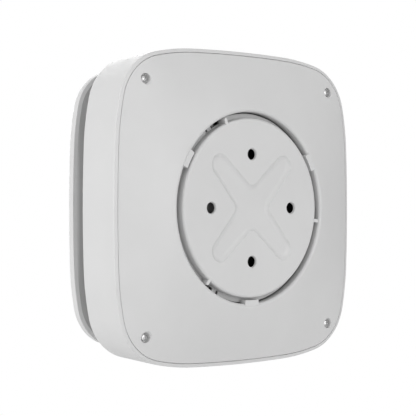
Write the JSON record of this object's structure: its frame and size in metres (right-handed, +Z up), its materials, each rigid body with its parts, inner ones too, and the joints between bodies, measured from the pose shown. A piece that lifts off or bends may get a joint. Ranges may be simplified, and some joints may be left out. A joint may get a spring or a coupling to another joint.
{
  "type": "alarm siren",
  "caption": "Compact square wall-mounted alarm sounder with a floating front plate, a domed back cover and a round twist-lock wall bracket.",
  "frame": {"origin": "centre of the bracket's wall face, in the wall plane", "axes": "+Y out of the back into the wall, -Y towards the room, +Z up, X across"},
  "size_m": [0.124, 0.045, 0.124],
  "materials": {
    "white_plastic": "fine satin white moulding",
    "bracket_plastic": "fine satin white moulding",
    "button_plastic": "fine satin white moulding",
    "dark_plastic": "fine matt moulding",
    "clear_plastic": "polished clear acrylic",
    "gasket_rubber": "matt",
    "steel": "nickel plated",
    "brass": "bright",
    "piezo_ceramic": "silvered ceramic",
    "circuit_board": "solder mask over glass epoxy",
    "chip_epoxy": "matt moulded epoxy",
    "cell_sleeve": "shrink sleeve",
    "red_wire": "pvc insulation",
    "black_wire": "pvc insulation",
    "lamp": "diffused"
  },
  "bodies": {
    "bracket": {"mounting_bracket": "bracket_plastic"},
    "housing": {"back_cover": "white_plastic", "housing_shell": "white_plastic", "front_plate": "white_plastic", "sound_outlet": "white_plastic", "dust_mesh": "dark_plastic", "cover_gasket": "gasket_rubber", "tamper_spring": "steel", "test_button_spring": "steel", "sounder_case": "dark_plastic", "piezo_plate": "brass", "piezo_ceramic": "piezo_ceramic", "sounder_lead_red": "red_wire", "sounder_lead_black": "black_wire", "circuit_board": "circuit_board", "microcontroller": "chip_epoxy", "radio_shield": "steel", "sounder_driver": "chip_epoxy", "status_lamp": "lamp", "boost_coil": "dark_plastic", "storage_capacitor": "dark_plastic", "test_switch": "dark_plastic", "power_switch": "dark_plastic", "tamper_switch": "dark_plastic", "antenna": "brass", "light_guide": "clear_plastic", "cover_screw_1": "steel", "plate_screw_1": "steel", "board_screw_1": "steel", "cover_screw_2": "steel", "plate_screw_2": "steel", "board_screw_2": "steel", "cover_screw_3": "steel", "plate_screw_3": "steel", "board_screw_3": "steel", "cover_screw_4": "steel", "plate_screw_4": "steel", "board_screw_4": "steel", "battery_cell_1": "cell_sleeve", "battery_contact_1": "steel", "battery_spring_1": "steel", "battery_holder_1": "dark_plastic", "battery_cell_2": "cell_sleeve", "battery_contact_2": "steel", "battery_spring_2": "steel", "battery_holder_2": "dark_plastic"},
    "test_button": {"test_button": "button_plastic"},
    "power_button": {"power_button": "button_plastic"},
    "tamper_plunger": {"tamper_plunger": "dark_plastic"}
  },
  "joints": [
    {"name": "twist_lock", "type": "hinge", "parent": "bracket", "child": "housing", "pos_m": [0, 0, 0], "axis": [0, -1, 0], "range_deg": [0, 31]},
    {"name": "test_press", "type": "slide", "parent": "housing", "child": "test_button", "axis": [0, 1, 0], "range_m": [0, 0.0008], "stiffness_N_per_m": 800, "springref_m": -0.001},
    {"name": "power_press", "type": "slide", "parent": "housing", "child": "power_button", "axis": [0, -1, 0], "range_m": [0, 0.0005], "stiffness_N_per_m": 800, "springref_m": -0.001},
    {"name": "tamper_press", "type": "slide", "parent": "housing", "child": "tamper_plunger", "axis": [0, -1, 0], "range_m": [0, 0.001], "stiffness_N_per_m": 400, "springref_m": -0.0011}
  ]
}
